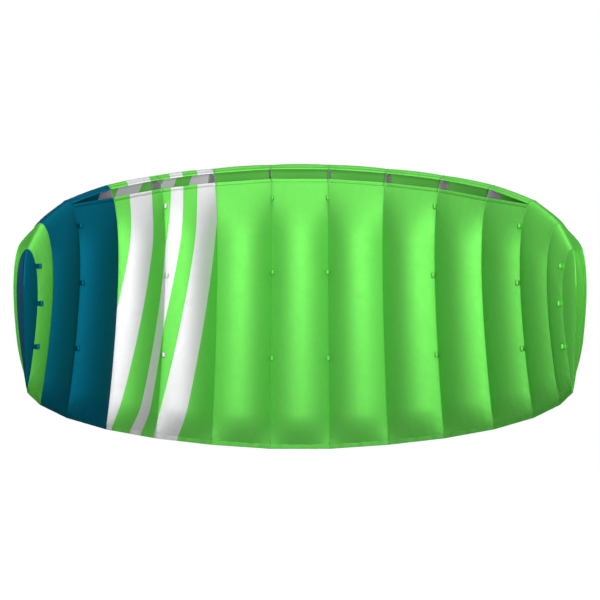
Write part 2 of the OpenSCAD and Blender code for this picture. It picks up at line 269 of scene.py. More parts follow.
def give_map(piece, name, values):
    layer = piece.data.uv_layers.new(name=name)
    corners = np.zeros(len(piece.data.loops), np.int32)
    piece.data.loops.foreach_get("vertex_index", corners)
    layer.data.foreach_set("uv", values.reshape(-1, 2)[corners].astype(np.float32).ravel())


def give_distance(piece, name, values):
    attribute = piece.data.attributes.new(name, "FLOAT", "POINT")
    attribute.data.foreach_set("value", values.astype(np.float32).ravel())


print("a 2 x 2 grid has", len(grid_faces(2, 2, False)), "face")

# %% Turn a grid into a cloth
def cloth_object(name, grid, wing_x, material, outward, sewn_row=None):
    rows, columns = grid.shape[:2]
    across, along = lengths_along(grid, 1), lengths_along(grid, 0)
    row, column = rows // 2, columns // 2
    here = grid[row, column]
    facing = np.cross(grid[row + 1, column] - here, grid[row, column + 1] - here)
    piece = mesh_object(name, grid, grid_faces(rows, columns, facing @ outward < 0), material)
    give_map(piece, "cloth", np.stack([across, along], axis=-1))
    give_map(piece, "wing", np.stack([np.broadcast_to(wing_x, grid.shape[:2]), grid[..., 2]], -1))
    give_distance(piece, "seam", np.minimum(across, across[:, -1:] - across))
    from_edge = np.minimum(along, along[-1:] - along)
    if sewn_row is not None:
        from_edge = np.minimum(from_edge, np.abs(along - along[sewn_row]))
    give_distance(piece, "edge", from_edge)
    return piece


print("grids become cloth with the maps cloth and wing")

# %% [markdown]
# ## Ripstop
# Kite cloth is thin nylon with a coat that shines a little. Every few millimetres a thicker thread
# runs each way, which makes its small squares. The node tree below keeps that order: base colour,
# then mottling from folding and sun, then the squares, then a darker band along seams, partly the
# doubled cloth and partly painted shade for the valley between two cells, and rows of stitches
# beside each seam and edge. The same patterns drive the bump. The coat's gloss is broad and takes
# the colour of the cloth, which gives coated nylon its satin look: a Metallic share does just that,
# and it leaves less plain diffuse light, so the cells shade deeply round their sides.
# Only the outer side is coated, so the Backfacing output of Geometry gives the inside less of it.
# A Translucent share lets the sky glow through, as it does in every kite that is looked up at.

# %% A helper that adds nodes
def add(tree, kind, links=(), **settings):
    made = tree.nodes.new(kind)
    for key, value in settings.items():
        setattr(made, key, value)
    for key, value in dict(links).items():
        if isinstance(value, bpy.types.NodeSocket):
            tree.links.new(value, made.inputs[key])
        else:
            made.inputs[key].default_value = value
    return made


def sums(tree, operation, first, second=0.0, third=0.0):
    numbers = {0: first, 1: second, 2: third}
    return add(tree, "ShaderNodeMath", numbers, operation=operation).outputs[0]


def ramp(tree, value, low, high, to_low=0.0, to_high=1.0):
    links = {"Value": value, "From Min": low, "From Max": high, "To Min": to_low, "To Max": to_high}
    return add(tree, "ShaderNodeMapRange", links, interpolation_type="SMOOTHSTEP").outputs[0]


def blended(tree, share, first, second, mode="MIX"):
    made = add(tree, "ShaderNodeMix", data_type="RGBA", blend_type=mode)
    for key, value in (("Factor_Float", share), ("A_Color", first), ("B_Color", second)):
        socket = next(s for s in made.inputs if s.identifier == key)
        if isinstance(value, bpy.types.NodeSocket):
            tree.links.new(value, socket)
        else:
            socket.default_value = value
    return next(s for s in made.outputs if s.identifier == "Result_Color")


print("add, sums, ramp and blended each return a socket or a node")

# %% Read the cloth's maps, and soft blotches
def distance(tree, name):
    return add(tree, "ShaderNodeAttribute", attribute_name=name).outputs["Fac"]


def uv_parts(tree, name):
    uv = add(tree, "ShaderNodeUVMap", uv_map=name).outputs["UV"]
    parts = add(tree, "ShaderNodeSeparateXYZ", {"Vector": uv})
    return uv, parts.outputs["X"], parts.outputs["Y"]


def empty_material(name):
    material = bpy.data.materials.new(name)
    material.use_nodes = True
    material.node_tree.nodes.clear()
    return material, material.node_tree


NOISE_SPREAD = (0.3, 0.7)


def mottled(tree, uv, colour, scale, detail, dull, clean):
    """The colour with soft blotches from dull to clean, and the noise that made them."""
    noise = add(tree, "ShaderNodeTexNoise", {"Vector": uv, "Scale": scale, "Detail": detail})
    shade = ramp(tree, noise.outputs["Fac"], *NOISE_SPREAD, dull, clean)
    grey = add(tree, "ShaderNodeCombineColor", {0: shade, 1: shade, 2: shade}).outputs[0]
    return blended(tree, 1.0, colour, grey, "MULTIPLY"), noise.outputs["Fac"]


print("blotches use the noise from", *NOISE_SPREAD)

# %% [markdown]
# The squares and the stitches are each a few math nodes. A line that repeats is the
# distance to the nearest multiple of its pitch, and a smooth step turns that distance to a mask.

# %% Patterns of the cloth
SQUARE_PITCH = 0.005
SQUARE_THREAD = 0.0007
STITCH_PITCH = 0.0032
STITCH_ROWS = (0.0025, 0.0055)


def repeated_line(tree, value, pitch, width):
    off_line = sums(tree, "PINGPONG", value, pitch / 2)
    return ramp(tree, off_line, width / 2, width, 1.0, 0.0)


def off_place(tree, value, place):
    return sums(tree, "ABSOLUTE", sums(tree, "SUBTRACT", value, place))


def strongest(tree, masks):
    total = masks[0]
    for mask in masks[1:]:
        total = sums(tree, "MAXIMUM", total, mask)
    return total


def squares(tree, across, along):
    one = repeated_line(tree, across, SQUARE_PITCH, SQUARE_THREAD)
    other = repeated_line(tree, along, SQUARE_PITCH, SQUARE_THREAD)
    return strongest(tree, [one, other])


def stitch_row(tree, from_seam, place, running):
    row = ramp(tree, off_place(tree, from_seam, place), 0.0003, 0.0006, 1.0, 0.0)
    gap = sums(tree, "PINGPONG", running, STITCH_PITCH / 2)
    return sums(tree, "MULTIPLY", row, ramp(tree, gap, 0.0002, 0.0005))


def stitches(tree, across, along):
    masks = []
    for place in STITCH_ROWS:
        masks.append(stitch_row(tree, distance(tree, "seam"), place, along))
        masks.append(stitch_row(tree, distance(tree, "edge"), place, across))
    return strongest(tree, masks)


print("squares every", SQUARE_PITCH, "m, stitches every", STITCH_PITCH, "m")

# %% [markdown]
# Two cells of the left half are printed with broad slanted bands, all leaning one way. The bands
# live on the "wing" map: the distance across the span, less a share of the height, picks the band.

# %% Slanted bands
BAND_SLANT = 0.17
BAND_EDGE = 0.0006
BANDS = ((-0.424, 0.058), (-0.331, 0.030), (-0.252, 0.058))


def bands(tree):
    _, wing_x, wing_z = uv_parts(tree, "wing")
    slanted = sums(tree, "SUBTRACT", wing_x, sums(tree, "MULTIPLY", wing_z, BAND_SLANT))
    return strongest(tree, [
        ramp(tree, off_place(tree, slanted, place), width / 2 - BAND_EDGE,
             width / 2 + BAND_EDGE, 1.0, 0.0) for place, width in BANDS])


print("bands:", len(BANDS))

# %% The ripstop material
GREEN = (0.15, 0.60, 0.098, 1)
TEAL = (0.002, 0.115, 0.18, 1)
WHITE = (0.67, 0.67, 0.68, 1)
SATIN = 0.82
SATIN_INSIDE = 0.3
SATIN_ROUGHNESS = 0.66
ROUGHNESS_SPREAD = 0.02
CLOTH_GLOW = 0.04
THREAD = (0.7, 0.75, 0.7, 1)
# The tint along seams is partly the doubled cloth and partly painted shade for the valley between
# cells.
DOUBLED_AND_SHADE = (0.55, 0.55, 0.6, 1)


def ripstop(name, colour, printed=None):
    material, tree = empty_material(name)
    uv, across, along = uv_parts(tree, "cloth")
    base = colour if printed is None else blended(tree, bands(tree), colour, printed)
    base, _ = mottled(tree, uv, base, 9.0, 4.0, 0.97, 1.0)
    grid = squares(tree, across, along)
    base = blended(tree, sums(tree, "MULTIPLY", grid, 0.06), base, (1, 1, 1, 1), "SOFT_LIGHT")
    # Darker along each seam: partly the doubled cloth there, partly painted shade for the valley
    # between two cells.
    doubled_and_shade = ramp(tree, distance(tree, "seam"), -0.001, 0.003, 0.5, 0.0)
    base = blended(tree, doubled_and_shade, base, DOUBLED_AND_SHADE, "MULTIPLY")
    sewn = stitches(tree, across, along)
    base = blended(tree, sums(tree, "MULTIPLY", sewn, 0.35), base, THREAD, "MULTIPLY")
    crumple = add(tree, "ShaderNodeTexNoise", {"Vector": uv, "Scale": 70.0, "Detail": 5.0})
    weave = add(tree, "ShaderNodeTexNoise", {"Vector": uv, "Scale": 1400.0, "Detail": 1.0})
    relief = sums(tree, "MULTIPLY_ADD", crumple.outputs["Fac"], 0.2,
                  sums(tree, "MULTIPLY_ADD", grid, 0.25, sums(tree, "MULTIPLY", sewn, 0.8)))
    relief = sums(tree, "MULTIPLY_ADD", weave.outputs["Fac"], 0.12, relief)
    bump = add(tree, "ShaderNodeBump", {"Height": relief, "Strength": 0.35, "Distance": 0.0006})
    rough = ramp(tree, crumple.outputs["Fac"], *NOISE_SPREAD,
                 SATIN_ROUGHNESS - ROUGHNESS_SPREAD, SATIN_ROUGHNESS + ROUGHNESS_SPREAD)
    inside = add(tree, "ShaderNodeNewGeometry").outputs["Backfacing"]
    satin = ramp(tree, inside, 0.0, 1.0, SATIN, SATIN_INSIDE)
    cloth = add(tree, "ShaderNodeBsdfPrincipled", {
        "Base Color": base, "Metallic": satin, "Roughness": rough, "Normal": bump.outputs[0],
        "Specular Tint": base})
    glow = add(tree, "ShaderNodeBsdfTranslucent", {"Color": base, "Normal": bump.outputs[0]})
    both = add(tree, "ShaderNodeMixShader",
               {0: CLOTH_GLOW, 1: cloth.outputs[0], 2: glow.outputs[0]})
    add(tree, "ShaderNodeOutputMaterial", {"Surface": both.outputs[0]})
    return material


cloths = {
    "canopy_green": ripstop("ripstop_green", GREEN),
    "canopy_teal": ripstop("ripstop_teal", TEAL),
    "canopy_white": ripstop("ripstop_banded", GREEN, WHITE),
}
print("cloths:", sorted(cloths))

# %% [markdown]
# ## The skins
# Each skin is a panel cut a little wider than its cell, so it swells outwards when the air comes
# in, and it draws small puckers where it is sewn down. A skin starts at an intake lip, or just
# below the nose on a closed cell, and ends at the hem. Both sides of a cell come from the same
# function. The swell rises over the first quarter, stays full, and dies out just before the hem.
# Its section is a shallow arc that leaves each rib at about thirty degrees. The two narrow closed
# cells by each tip are cut fuller on top, and they are round from the nose on, which gives the
# wing its smooth shoulders. The nose of each cell also bulges forward a little. The rows are
# spaced by a sine, so that they crowd towards the hem, where the swell changes fastest.

# %% The shape of a swollen panel
BALLOON = 0.15
BALLOON_RISE = 0.25
BALLOON_FALL = 0.12
RISE_POWER = 1.5
SHOULDERS = {5: 0.18, 6: 0.27}
SHOULDER_RISE = 0.07
SHOULDER_FALL = 0.35
NOSE_FORWARD = 0.015
NOSE_REACH_Q = math.sqrt(0.02)
ROWS = {"top": 132, "bottom": 112}
COLUMNS = 33


def bottom_start_q(cell, rib_name):
    if number_of(rib_name) <= LAST_OPEN_RIB:
        return REAR_LIP_Q
    return PINCHED_LIP_Q if cell["open"] else FRONT_LIP_Q


def panel_q(cell, surface, rows):
    ends = []
    for which in ("near", "far"):
        rib = ribs[cell[which]]
        if surface == "top":
            ends.append((FRONT_LIP_Q, end_q(rib)))
        else:
            ends.append((bottom_start_q(cell, cell[which]), -end_q(rib)))
    eased = np.sin(np.linspace(0, math.pi / 2, rows))
    return [start + (finish - start) * eased for start, finish in ends]


for name, cell in cells.items():
    cell["shoulder"] = BALLOON if cell["open"] else SHOULDERS[number_of(name)]
print("the centre cell swells", round(BALLOON * cells["centre"]["width"], 4), "m each way")

# %% The grid of a swollen panel
def arc(u):
    """Nought at both ribs and one midway."""
    return 4 * u * (1 - u)


def swell_of(cell, q, u):
    start, finish = q[0], q[-1]
    first = np.where(q > 0, 0.0, start**2)
    share = np.clip((q**2 - first) / (finish**2 - first), 0, 1)
    shoulder = (q > 0) & (not cell["open"])
    length = np.where(shoulder, SHOULDER_RISE, BALLOON_RISE)
    rise = np.sin(math.pi / 2 * np.minimum(1, share / length))
    rise = np.where(shoulder, rise, rise**RISE_POWER)
    length = np.where(shoulder, SHOULDER_FALL, BALLOON_FALL)
    fall = np.sin(math.pi / 2 * np.minimum(1, (1 - share) / length))
    depth = np.where(shoulder, cell["shoulder"], BALLOON) * cell["width"]
    return depth * arc(u) * rise * fall


def panel_grid(cell, surface, rows, columns):
    near, far = ribs[cell["near"]], ribs[cell["far"]]
    near_q, far_q = panel_q(cell, surface, rows)
    u = np.linspace(0, 1, columns)[None, :]
    q = near_q[:, None] * (1 - u) + far_q[:, None] * u
    near_line, far_line = on_outline(near, near_q), on_outline(far, far_q)
    flat = near_line[:, None] * (1 - u[..., None]) + far_line[:, None] * u[..., None]
    swell = swell_of(cell, q, u) * np.sign(q)
    flat[..., :2] += swell[..., None] * cell["up"]
    flat[..., 2] += NOSE_FORWARD * cell["width"] * arc(u) * np.exp(-((q / NOSE_REACH_Q) ** 2))
    return flat


trial = panel_grid(cells["centre"], "top", 40, 9)
print("centre top panel:", np.round(np.ptp(trial.reshape(-1, 3), axis=0), 3))

# %% [markdown]
# Puckers are small and follow rules: short ones stand square to a seam and fade within a few
# centimetres, and long ones run forward from the hem, where the swell has to be gathered in. Each
# panel takes its phases from its own seeded draw, so no two cells match but each run is the same.

# %% Puckers
PUCKER_DEPTH, PUCKER_REACH, PUCKER_START = 0.0004, 0.014, 0.002
GATHER_DEPTH, GATHER_REACH, GATHER_START = 0.0005, 0.03, 0.01
MOUTH_DEPTH, MOUTH_REACH, MOUTH_START = 0.0003, 0.03, 0.008
PUCKER_PITCHES = (0.019, 0.031, 0.047)
PUCKER_LEAN = 0.3
GATHER_PITCHES = (0.017, 0.029)
MOUTH_PITCHES = (0.021, 0.034)
USUAL_WIDTH = 0.13
CALM_SIDE = 0.01


def waves(draw, value, pitches):
    total = np.zeros_like(value)
    for pitch in pitches:
        total += np.sin(2 * math.pi * value / pitch + draw.uniform(0, 2 * math.pi)) / len(pitches)
    return total


def near_edge(from_edge, depth, reach, start):
    """A depth that is nought on the edge itself, full just beside it, and fades with the reach."""
    return depth * np.exp(-from_edge / reach) * (1 - np.exp(-from_edge / start))


def puckered(grid, seed, outward):
    draw = np.random.default_rng(seed)
    across, along = lengths_along(grid, 1), lengths_along(grid, 0)
    far_across, far_along = across[:, -1:] - across, along[-1:] - along
    lift = np.zeros(grid.shape[:2])
    for from_seam in (across, far_across):
        depth = near_edge(from_seam, PUCKER_DEPTH, PUCKER_REACH, PUCKER_START)
        lift += depth * waves(draw, along + PUCKER_LEAN * from_seam, PUCKER_PITCHES)
    place = across / across[:, -1:] * USUAL_WIDTH
    sides = np.clip(np.minimum(across, far_across) / CALM_SIDE, 0, 1)
    gather = near_edge(far_along, GATHER_DEPTH, GATHER_REACH, GATHER_START)
    lift += gather * sides * waves(draw, place, GATHER_PITCHES)
    mouth = near_edge(along, MOUTH_DEPTH, MOUTH_REACH, MOUTH_START)
    lift += mouth * sides * waves(draw, place, MOUTH_PITCHES)
    normal = unit(np.cross(np.gradient(grid, axis=0), np.gradient(grid, axis=1)))
    if normal[grid.shape[0] // 2, grid.shape[1] // 2] @ outward < 0:
        normal = -normal
    return grid + normal * lift[..., None]


print("puckers up to", PUCKER_DEPTH + GATHER_DEPTH, "m deep")

# %% [markdown]
# A top skin bends sharply round the nose and runs nearly straight behind it, so it is cut as a
# nose panel and a rear panel that are sewn end to end. The mesh stays one sheet, and the row of
# points nearest to that cross seam is remembered, so that the stitches and the welt can follow it.

# %% Sew the skins
CROSS_SEAM_Q = math.sqrt(0.3)


def cross_row(cell):
    near_q, _ = panel_q(cell, "top", ROWS["top"])
    return int(np.argmin(np.abs(near_q - CROSS_SEAM_Q)))


slot_of = {row["node"]: row["material_slot"] for row in frame["record"]["subparts"]}
panels = {}


def across_joint(piece, cell):
    first, second = cell["bodies"]
    if first == second:
        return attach(piece, first)
    start, finish = (tuple(on_rib(ribs[cell[which]], ribs[cell[which]]["chord"] / 2, 0.0))
                     for which in ("near", "far"))
    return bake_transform(piece)


for seed, (name, cell) in enumerate(cells.items()):
    for surface, sign in (("top", 1), ("bottom", -1)):
        outward = sign * np.array([*cell["up"], 0])
        grid = panel_grid(cell, surface, ROWS[surface], COLUMNS)
        grid = puckered(grid, 2 * seed + (sign > 0), outward)
        stations = np.linspace(*cell["stations"], COLUMNS)[None, :]
        slot = slot_of[f"{surface}_skin_{name}"]
        sewn_row = cross_row(cell) if surface == "top" else None
        piece = cloth_object(f"{surface}_panel_{name}", grid, stations, cloths[slot], outward,
                             sewn_row)
        across_joint(piece, cell)
        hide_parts(f"{surface}_skin_{name}")
        panels[surface, name] = {"piece": piece, "grid": grid, "with": []}
print("panels:", len(panels), "faces:", sum(len(p["piece"].data.polygons) for p in panels.values()))

# %% [markdown]
# ## Hem and lip tapes
# A raw edge of ripstop frays, so every free edge is bound. The trailing edge gets a wide hem, and
# each lip of an intake gets a folded tape. A tape is made by wrapping a short profile round the
# edge row of the panel it binds, so it follows every pucker of that edge. Its cloth is a twill
# with a zigzag of thread. The hem's cloth is written darker as painted shade for the trailing
# edge, where the lower skin turns down away from the light.

# %% The tape material
TAPE_WIDTH = 0.008
TWILL_HALF_PITCH = 0.0006
TWILL_SLOPE = 0.8
ZIGZAG_HALF_PITCH = 0.002
ZIGZAG_SLOPE = 1.2
ZIGZAG_PLACE = 0.35 * TAPE_WIDTH
# The hem's darker value is painted shade for the trailing edge, which turns away from the light.
NEW_TAPE, HEM_SHADE = 0.97, 0.84
TAPE_MOTTLE_SPREAD = 0.03


def tape_cloth(name, colour, printed=None, brightness=NEW_TAPE):
    material, tree = empty_material(name)
    uv, across, along = uv_parts(tree, "cloth")
    slanted = sums(tree, "MULTIPLY_ADD", along, TWILL_SLOPE, across)
    twill = ramp(tree, sums(tree, "PINGPONG", slanted, TWILL_HALF_PITCH), 0.0, TWILL_HALF_PITCH)
    zigzag = sums(tree, "PINGPONG", across, ZIGZAG_HALF_PITCH)
    from_line = sums(tree, "SUBTRACT", along, ZIGZAG_PLACE)
    off_thread = off_place(tree, from_line, sums(tree, "MULTIPLY", zigzag, ZIGZAG_SLOPE))
    thread = ramp(tree, off_thread, 0.00025, 0.0005, 1.0, 0.0)
    base = colour if printed is None else blended(tree, bands(tree), colour, printed)
    base, _ = mottled(tree, uv, base, 30.0, 3.0, brightness - TAPE_MOTTLE_SPREAD, brightness + TAPE_MOTTLE_SPREAD)
    base = blended(tree, sums(tree, "MULTIPLY", thread, 0.4), base, THREAD, "MULTIPLY")
    relief = sums(tree, "MULTIPLY_ADD", thread, 1.0, sums(tree, "MULTIPLY", twill, 0.4))
    bump = add(tree, "ShaderNodeBump", {"Height": relief, "Strength": 0.3, "Distance": 0.0003})
    cloth = add(tree, "ShaderNodeBsdfPrincipled", {
        "Base Color": base, "Metallic": SATIN, "Roughness": SATIN_ROUGHNESS,
        "Normal": bump.outputs[0], "Specular Tint": base})
    add(tree, "ShaderNodeOutputMaterial", {"Surface": cloth.outputs[0]})
    return material


tapes, hems = {}, {}
for name, colours in (("green", (GREEN,)), ("teal", (TEAL,)), ("banded", (GREEN, WHITE))):
    slot = "binding_white" if name == "banded" else f"binding_{name}"
    tapes[slot] = tape_cloth(f"tape_{name}", *colours)
    # The hem gets the darker value, a painted shade.
    hems[slot] = tape_cloth(f"hem_{name}", *colours, brightness=HEM_SHADE)
print("tapes:", sorted(tapes))

# %% Wrap a tape round an edge
FOLD_STEPS = 5
TAPE_LIFT = 0.0004


def edge_frame(grid):
    """The first row, the direction into the cloth along it, and the cloth's normal there."""
    row, a_little_in = grid[0], grid[3]
    inwards = unit(a_little_in - row)
    return row, inwards, unit(np.cross(np.gradient(row, axis=0), inwards))


def laid_out(cell, grid):
    stations = np.linspace(*cell["stations"], grid.shape[1])
    return np.stack([np.broadcast_to(stations, grid.shape[:2]), grid[..., 2]], axis=-1)


def lip_tape(name, cell, panel_points, material):
    row, inwards, normal = edge_frame(panel_points)
    turn = np.linspace(-math.pi / 2, math.pi / 2, FOLD_STEPS)
    fold = [(-TAPE_LIFT * math.cos(a), TAPE_LIFT * math.sin(a)) for a in turn]
    profile = [(TAPE_WIDTH, -TAPE_LIFT), *fold, (TAPE_WIDTH, TAPE_LIFT)]
    loop = np.stack([row + inwards * a + normal * b for a, b in profile])
    rows, columns = loop.shape[:2]
    last = (rows - 1) * columns
    faces = grid_faces(rows, columns, False)
    faces += [[last + j, j, j + 1, last + j + 1] for j in range(columns - 1)]
    faces.append([i * columns for i in range(rows)])
    faces.append([i * columns + columns - 1 for i in reversed(range(rows))])
    piece = mesh_object(name, loop, faces, material)
    along = np.minimum(lengths_along(loop, 0), TAPE_WIDTH)
    give_map(piece, "cloth", np.stack([lengths_along(loop, 1), along], axis=-1))
    give_map(piece, "wing", laid_out(cell, loop))
    return across_joint(piece, cell)


print("a tape is", TAPE_WIDTH, "m wide and wraps in", FOLD_STEPS, "steps")

# %% Bind the lips of the intakes
for name, cell in cells.items():
    if not cell["open"]:
        continue
    slot = slot_of[f"edge_binding_{name}"]
    for lip, surface in (("rear", "bottom"), ("front", "top")):
        panel = panels[surface, name]
        tape = lip_tape(f"{lip}_lip_tape_{name}", cell, panel["grid"], tapes[slot])
        panel["with"].append(tape)

# %% Fold the hem
HEM_LIFT = 0.0006
HEM_OVERLAP = 0.0015
HEM_EDGE = 0.0006
HEM_ROUNDING = 0.0003
RIPPLE_DEPTH = 0.0004
RIPPLE_PITCHES = (0.023, 0.041)


def hem_profile(rib):
    """Depth in from the trailing edge and height off the chord, over the fold from low to high."""
    start = height(end_q(rib)) * rib["chord"] + HEM_LIFT
    low = [(hem_depth + HEM_OVERLAP, -start), (hem_depth * 0.5, -(start + HEM_EDGE) / 2),
           (2 * HEM_ROUNDING, -HEM_EDGE), (-HEM_ROUNDING, -HEM_EDGE * 0.6)]
    return low + [(depth, -up) for depth, up in reversed(low)]


def hem_piece(name, cell, material, seed):
    lines = []
    for which in ("near", "far"):
        rib = ribs[cell[which]]
        depth, up = np.array(hem_profile(rib)).T
        lines.append(on_rib(rib, rib["chord"] - depth, up))
    u = np.linspace(0, 1, COLUMNS)[None, :, None]
    grid = lines[0][:, None] * (1 - u) + lines[1][:, None] * u
    draw = np.random.default_rng(seed)
    across = lengths_along(grid, 1)
    ripple = RIPPLE_DEPTH * waves(draw, across, RIPPLE_PITCHES)
    ripple *= np.clip(across / CALM_SIDE, 0, 1)
    grid[..., :2] += ripple[..., None] * cell["up"]
    rows = len(lines[0])
    faces = grid_faces(rows, COLUMNS, cell["stations"][1] < 0)
    if cell["far"].endswith(str(TIP)):
        faces.append([i * COLUMNS + COLUMNS - 1 for i in range(rows)])
    piece = mesh_object(f"trailing_hem_{name}", grid, faces, material)
    give_map(piece, "cloth", np.stack([across, lengths_along(grid, 0)], axis=-1))
    give_map(piece, "wing", laid_out(cell, grid))
    return across_joint(piece, cell)


print("the hem stands", round(float(height(end_q(ribs["r1"]))) * ribs["r1"]["chord"], 4), "m up")

# %% Sew the hem on
FIRST_HEM_SEED = 60
for seed, (name, cell) in enumerate(cells.items()):
    slot = slot_of[f"edge_binding_{name}"]
    hem = hem_piece(name, cell, hems[slot], FIRST_HEM_SEED + seed)
    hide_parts(f"edge_binding_{name}")
    panels["bottom", name]["with"].append(hem)
print("hems:", len(cells))

# %% [markdown]
# ## Ribs
# A rib is a flat piece of stiffer coated cloth in the shape of the section. Round ports let the
# air even out between cells, and each port's edge is held by a sewn ring. The nose between the
# intake lips takes the wind, so a second layer is sewn on there. A flat filled curve with holes is
# the quickest way to all three: Blender fills it, and a small extrusion makes it cloth.

# %% Flat pieces on a rib
RIB_HALF = 0.0003
RIM_HALF = 0.0006


def flat_piece(name, rib, outlines, half, material):
    """A filled outline with holes, stood on the rib's plane. Points are (up, height) pairs."""
    curve = bpy.data.curves.new(name, "CURVE")
    curve.dimensions = "2D"
    curve.fill_mode = "BOTH"
    curve.extrude = half
    for outline in outlines:
        spline = curve.splines.new("POLY")
        spline.points.add(len(outline) - 1)
        for point, (x, y) in zip(spline.points, outline):
            point.co = (x, y, 0, 1)
        spline.use_cyclic_u = True
    drawn = bpy.data.objects.new(name + "_drawn", curve)
    mesh = bpy.data.meshes.new_from_object(drawn)
    bpy.data.objects.remove(drawn)
    up, middle_xy = rib["up"], rib["middle"]
    across = (up[1], -up[0])
    mesh.transform(Matrix((
        (up[0], 0, across[0], middle_xy[0]),
        (up[1], 0, across[1], middle_xy[1]),
        (0, 1, 0, 0),
        (0, 0, 0, 1),
    )))
    mesh.materials.append(material)
    piece = put_in(name, mesh)
    flat = np.array([(v.co.x * up[0] + v.co.y * up[1], v.co.z) for v in mesh.vertices])
    give_map(piece, "cloth", flat)
    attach(piece, rib["body"])
    return piece


print("a rib is", 2 * RIB_HALF, "m thick")

# %% Outlines of a rib and its ports
PORTS = (0.2, 0.38, 0.57)
PORT_SHARE = 0.5
RIM_WIDTH = 0.005


def rib_edge(rib, name, inset):
    lower_start = REAR_LIP_Q if number_of(name) <= LAST_OPEN_RIB else FRONT_LIP_Q
    lower = np.linspace(-end_q(rib), lower_start, 70)
    upper = np.linspace(FRONT_LIP_Q, end_q(rib), 90)
    q = np.concatenate([lower, upper[lower_start == FRONT_LIP_Q:]])
    up = height(q) * rib["chord"]
    up -= np.sign(up) * np.minimum(inset, np.abs(up))
    return np.stack([up, rib["nose"] - q**2 * rib["chord"] - inset * (np.abs(q) < 0.1)], axis=-1)


def circle(centre, radius, steps=40):
    turn = np.linspace(0, 2 * math.pi, steps, endpoint=False)
    return np.stack([centre[0] + radius * np.cos(turn), centre[1] + radius * np.sin(turn)], -1)


def ports_of(rib):
    for share in PORTS:
        radius = PORT_SHARE * height(math.sqrt(share)) * rib["chord"]
        yield (0.0, rib["nose"] - share * rib["chord"]), float(radius)


print("ports at", PORTS, "of the chord")

# %% The rib cloth's material
RIB_GREY = (0.265, 0.215, 0.275, 1)
PATCH_GREY = (0.34, 0.29, 0.35, 1)
PALE_THREAD = (0.6, 0.6, 0.62, 1)


def rib_cloth(name, colour):
    material, tree = empty_material(name)
    uv, across, along = uv_parts(tree, "cloth")
    grid = squares(tree, across, along)
    base, mottle = mottled(tree, uv, colour, 24.0, 5.0, 0.88, 1.0)
    base = blended(tree, sums(tree, "MULTIPLY", grid, 0.12), base, PALE_THREAD)
    relief = sums(tree, "MULTIPLY_ADD", mottle, 0.5, sums(tree, "MULTIPLY", grid, 0.4))
    bump = add(tree, "ShaderNodeBump", {"Height": relief, "Strength": 0.35, "Distance": 0.0005})
    cloth = add(tree, "ShaderNodeBsdfPrincipled", {
        "Base Color": base, "Roughness": 0.5, "Normal": bump.outputs[0],
        "Specular IOR Level": 0.4, "Sheen Weight": 0.1})
    add(tree, "ShaderNodeOutputMaterial", {"Surface": cloth.outputs[0]})
    return material


rib_material = rib_cloth("rib_cloth_grey", RIB_GREY)
patch_material = rib_cloth("patch_cloth_grey", PATCH_GREY)
print("rib cloths ready")

# %% The patch between the intake lips
NOSE_PATCH_Q = 0.36
NOSE_PATCH_WIDTH = 0.012
NOSE_PATCH_INSET = 0.0008


def nose_patch(rib):
    """A band along the inside of the rib's nose, from the front lip round to the upper side."""
    q = np.linspace(FRONT_LIP_Q, NOSE_PATCH_Q, 40)
    rim = np.stack([height(q) * rib["chord"], rib["nose"] - q**2 * rib["chord"]], axis=-1)
    run = unit(np.gradient(rim, axis=0))
    inward = np.stack([run[:, 1], -run[:, 0]], axis=-1)
    return np.concatenate([rim + inward * NOSE_PATCH_INSET,
                           (rim + inward * NOSE_PATCH_WIDTH)[::-1]])


print("nose patches", NOSE_PATCH_WIDTH, "m wide")

# %% Cut the ribs
RIB_INSET = 0.0004
for name, rib in ribs.items():
    if number_of(name) == TIP:
        continue
    edge = rib_edge(rib, name, RIB_INSET)
    holes = [circle(centre, radius) for centre, radius in ports_of(rib)]
    piece = flat_piece(f"rib_cloth_{name}", rib, [edge, *holes], RIB_HALF, rib_material)
    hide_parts(f"rib_{name}")
    rings = [circle(c, r + RIM_WIDTH) for c, r in ports_of(rib)] + holes
    rims = flat_piece(f"port_rims_{name}", rib, rings, RIM_HALF, patch_material)
    patch = flat_piece(f"nose_patch_{name}", rib, [nose_patch(rib)], RIM_HALF, patch_material)
print("ribs cut:", 2 * (TIP - 1))

# %% [markdown]
# ## Tip panels
# The outermost rib is the wing's side wall. Air pressure pushes it out like the end of a cushion:
# two flanks rise steeply from the seams and meet in a ridge that runs on from the nose. Near the
# nose the ridge is a soft fold that catches the light, and further down it is a sharp crease. The
# cap is a grid again: rows run down the chord and columns across, and v tells how far across a
# point lies, from -1 at the lower seam to 1 at the upper one.

# %% The shape of a tip cap
TIP_SWELL = 0.121
RIDGE_AT = -0.25
LOWER_FLANK, UPPER_FLANK = 0.65, 0.85
FLANK_POWER = 3.5
FOLD_LENGTH = 0.07
FOLD_WIDTH = 0.16
TIP_NOSE_Q = 0.03
TIP_SEED = 40
RIDGE_COLUMN = 16
v = np.concatenate([np.linspace(-1, RIDGE_AT, RIDGE_COLUMN + 1),
                    np.linspace(RIDGE_AT, 1, 27)[1:]])[None, :]


def sharpen(piece, column, first_row):
    """Mark the mesh edges that run along one column below a row as sharp."""
    sharp = piece.data.attributes.new("sharp_edge", "BOOLEAN", "EDGE")
    for edge in piece.data.edges:
        ends = [divmod(corner, v.size) for corner in edge.vertices]
        if all(at == column and row > first_row for row, at in ends):
            sharp.data[edge.index].value = True


def roof_over(back):
    """The cap's height as a share of its ridge, for each point across; back is down the chord."""
    below = v < RIDGE_AT
    beside = np.where(below, (RIDGE_AT - v) / (1 + RIDGE_AT), (v - RIDGE_AT) / (1 - RIDGE_AT))
    fold = FOLD_WIDTH * np.exp(-(back / FOLD_LENGTH) ** 4)
    off_ridge = (np.sqrt(beside**2 + fold**2) - fold) / (np.sqrt(1 + fold**2) - fold)
    straight = np.where(below, LOWER_FLANK, UPPER_FLANK)
    return 1 - straight * off_ridge - (1 - straight) * beside**FLANK_POWER


print("ridge", RIDGE_AT, "of the way up from the middle")

